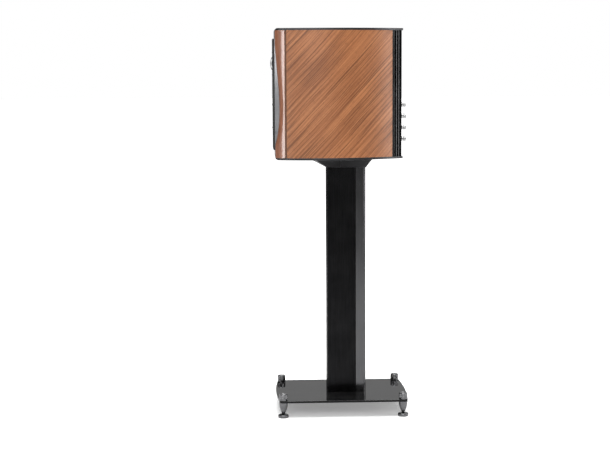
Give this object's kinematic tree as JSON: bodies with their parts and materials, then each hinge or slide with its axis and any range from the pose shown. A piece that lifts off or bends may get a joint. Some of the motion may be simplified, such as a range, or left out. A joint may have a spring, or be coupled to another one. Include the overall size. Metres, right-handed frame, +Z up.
{
  "type": "bookshelf speaker",
  "caption": "Two-way speaker with curved veneered sides and ribbed metal back, bolted to its own fluted column stand on a base plate with screw-adjustable cone feet.",
  "frame": {"origin": "centre of the footprint at floor level, under the shoes' undersides", "axes": "+Z up, -Y out of the front baffle towards the listener, +X to the listener's right of the speaker's own left-right line"},
  "size_m": [0.2656, 0.373, 1.054],
  "materials": {
    "veneer": "satin",
    "solid_wood": "satin",
    "black_board": "matte",
    "pale_metal": "satin",
    "black_skin": "matte",
    "dark_plate": "satin",
    "black_anodised": "satin",
    "terminal_plate": "brushed",
    "black_plastic": "matte",
    "rubber": "matte",
    "graphite": "satin",
    "fluted_metal": "satin",
    "satin_cover": "satin",
    "gloss_plate": "gloss",
    "driver_metal": "satin",
    "magnet": "matte",
    "plug_metal": "satin",
    "cone": "matte",
    "coil_wire": "satin",
    "spider_cloth": "matte",
    "dome_cloth": "satin",
    "bridge_metal": "polished",
    "foam": "matte",
    "brass_stud": "polished",
    "post_metal": "polished",
    "foot_metal": "satin"
  },
  "bodies": {
    "speaker": {"cabinet_side_left": "veneer", "cabinet_side_right": "veneer", "front_cheek_left": "solid_wood", "front_cheek_right": "solid_wood", "front_rail_top": "solid_wood", "front_rail_bottom": "solid_wood", "sub_baffle": "black_board", "baffle_body": "pale_metal", "baffle_skin": "black_skin", "top_plate": "dark_plate", "bottom_plate": "dark_plate", "rear_panel": "black_anodised", "terminal_plate": "terminal_plate", "port_tube": "black_plastic", "isolation_mat": "rubber", "bracket_front": "graphite", "bracket_rear": "graphite", "column_fluted": "fluted_metal", "column_rear_cover": "satin_cover", "base_plate": "gloss_plate", "woofer_basket": "driver_metal", "woofer_magnet": "magnet", "woofer_phase_plug": "plug_metal", "woofer_surround": "rubber", "woofer_spider": "spider_cloth", "tweeter_faceplate": "driver_metal", "tweeter_magnet": "magnet", "tweeter_surround": "dome_cloth", "tweeter_bridge": "bridge_metal", "crossover_board": "black_plastic", "crossover_coil": "coil_wire", "damping_foam": "foam", "post_1_stud": "brass_stud", "post_2_stud": "brass_stud", "post_3_stud": "brass_stud", "post_4_stud": "brass_stud"},
    "woofer_motion": {"woofer_cone": "cone", "woofer_voice_coil": "coil_wire"},
    "tweeter_motion": {"tweeter_dome": "dome_cloth"},
    "post_1_travel": {"post_1_washer": "post_metal"},
    "post_1_turn": {"post_1_knob": "post_metal"},
    "post_2_travel": {"post_2_washer": "post_metal"},
    "post_2_turn": {"post_2_knob": "post_metal"},
    "post_3_travel": {"post_3_washer": "post_metal"},
    "post_3_turn": {"post_3_knob": "post_metal"},
    "post_4_travel": {"post_4_washer": "post_metal"},
    "post_4_turn": {"post_4_knob": "post_metal"},
    "foot_front_left_travel": {"foot_front_left_shoe": "foot_metal"},
    "foot_front_left_turn": {"foot_front_left_spike": "foot_metal"},
    "foot_front_left_lock": {"foot_front_left_lock_knob": "foot_metal"},
    "foot_front_right_travel": {"foot_front_right_shoe": "foot_metal"},
    "foot_front_right_turn": {"foot_front_right_spike": "foot_metal"},
    "foot_front_right_lock": {"foot_front_right_lock_knob": "foot_metal"},
    "foot_rear_left_travel": {"foot_rear_left_shoe": "foot_metal"},
    "foot_rear_left_turn": {"foot_rear_left_spike": "foot_metal"},
    "foot_rear_left_lock": {"foot_rear_left_lock_knob": "foot_metal"},
    "foot_rear_right_travel": {"foot_rear_right_shoe": "foot_metal"},
    "foot_rear_right_turn": {"foot_rear_right_spike": "foot_metal"},
    "foot_rear_right_lock": {"foot_rear_right_lock_knob": "foot_metal"}
  },
  "joints": [
    {"name": "woofer_stroke", "type": "slide", "parent": "speaker", "child": "woofer_motion", "axis": [0, -1, 0], "range_m": [-0.004, 0.004], "stiffness_N_per_m": 1200, "deforming": ["woofer_surround", "woofer_spider"]},
    {"name": "tweeter_stroke", "type": "slide", "parent": "speaker", "child": "tweeter_motion", "axis": [0, -1, 0], "range_m": [-0.0004, 0.0004], "stiffness_N_per_m": 3000, "deforming": ["tweeter_surround"]},
    {"name": "post_1_clamp", "type": "slide", "parent": "speaker", "child": "post_1_travel", "axis": [0, 1, 0], "range_m": [0, 0.005]},
    {"name": "post_1_thread", "type": "hinge", "parent": "post_1_travel", "child": "post_1_turn", "pos_m": [0, 0.175, 0.8467], "axis": [0, 1, 0], "range_deg": [0, 1800]},
    {"name": "post_2_clamp", "type": "slide", "parent": "speaker", "child": "post_2_travel", "axis": [0, 1, 0], "range_m": [0, 0.005]},
    {"name": "post_2_thread", "type": "hinge", "parent": "post_2_travel", "child": "post_2_turn", "pos_m": [0, 0.175, 0.8154], "axis": [0, 1, 0], "range_deg": [0, 1800]},
    {"name": "post_3_clamp", "type": "slide", "parent": "speaker", "child": "post_3_travel", "axis": [0, 1, 0], "range_m": [0, 0.005]},
    {"name": "post_3_thread", "type": "hinge", "parent": "post_3_travel", "child": "post_3_turn", "pos_m": [0, 0.175, 0.7841], "axis": [0, 1, 0], "range_deg": [0, 1800]},
    {"name": "post_4_clamp", "type": "slide", "parent": "speaker", "child": "post_4_travel", "axis": [0, 1, 0], "range_m": [0, 0.005]},
    {"name": "post_4_thread", "type": "hinge", "parent": "post_4_travel", "child": "post_4_turn", "pos_m": [0, 0.175, 0.7528], "axis": [0, 1, 0], "range_deg": [0, 1800]},
    {"name": "foot_front_left_height", "type": "slide", "parent": "speaker", "child": "foot_front_left_travel", "axis": [0, 0, -1], "range_m": [0, 0.008]},
    {"name": "foot_front_left_thread", "type": "hinge", "parent": "foot_front_left_travel", "child": "foot_front_left_turn", "pos_m": [-0.1185, -0.1596, 0.03], "axis": [0, 0, -1], "range_deg": [0, 2304]},
    {"name": "foot_front_left_release", "type": "hinge", "parent": "speaker", "child": "foot_front_left_lock", "pos_m": [-0.1185, -0.1596, 0.056], "axis": [0, 0, 1], "range_deg": [0, 90]},
    {"name": "foot_front_right_height", "type": "slide", "parent": "speaker", "child": "foot_front_right_travel", "axis": [0, 0, -1], "range_m": [0, 0.008]},
    {"name": "foot_front_right_thread", "type": "hinge", "parent": "foot_front_right_travel", "child": "foot_front_right_turn", "pos_m": [0.1185, -0.1596, 0.03], "axis": [0, 0, -1], "range_deg": [0, 2304]},
    {"name": "foot_front_right_release", "type": "hinge", "parent": "speaker", "child": "foot_front_right_lock", "pos_m": [0.1185, -0.1596, 0.056], "axis": [0, 0, 1], "range_deg": [0, 90]},
    {"name": "foot_rear_left_height", "type": "slide", "parent": "speaker", "child": "foot_rear_left_travel", "axis": [0, 0, -1], "range_m": [0, 0.008]},
    {"name": "foot_rear_left_thread", "type": "hinge", "parent": "foot_rear_left_travel", "child": "foot_rear_left_turn", "pos_m": [-0.1185, 0.168, 0.03], "axis": [0, 0, -1], "range_deg": [0, 2304]},
    {"name": "foot_rear_left_release", "type": "hinge", "parent": "speaker", "child": "foot_rear_left_lock", "pos_m": [-0.1185, 0.168, 0.056], "axis": [0, 0, 1], "range_deg": [0, 90]},
    {"name": "foot_rear_right_height", "type": "slide", "parent": "speaker", "child": "foot_rear_right_travel", "axis": [0, 0, -1], "range_m": [0, 0.008]},
    {"name": "foot_rear_right_thread", "type": "hinge", "parent": "foot_rear_right_travel", "child": "foot_rear_right_turn", "pos_m": [0.1185, 0.168, 0.03], "axis": [0, 0, -1], "range_deg": [0, 2304]},
    {"name": "foot_rear_right_release", "type": "hinge", "parent": "speaker", "child": "foot_rear_right_lock", "pos_m": [0.1185, 0.168, 0.056], "axis": [0, 0, 1], "range_deg": [0, 90]}
  ],
  "couplings": [
    {"joint": "post_1_thread", "follows": "post_1_clamp", "rad_per_m": 6283.2},
    {"joint": "post_2_thread", "follows": "post_2_clamp", "rad_per_m": 6283.2},
    {"joint": "post_3_thread", "follows": "post_3_clamp", "rad_per_m": 6283.2},
    {"joint": "post_4_thread", "follows": "post_4_clamp", "rad_per_m": 6283.2},
    {"joint": "foot_front_left_thread", "follows": "foot_front_left_height", "rad_per_m": 5026.5},
    {"joint": "foot_front_right_thread", "follows": "foot_front_right_height", "rad_per_m": 5026.5},
    {"joint": "foot_rear_left_thread", "follows": "foot_rear_left_height", "rad_per_m": 5026.5},
    {"joint": "foot_rear_right_thread", "follows": "foot_rear_right_height", "rad_per_m": 5026.5}
  ]
}
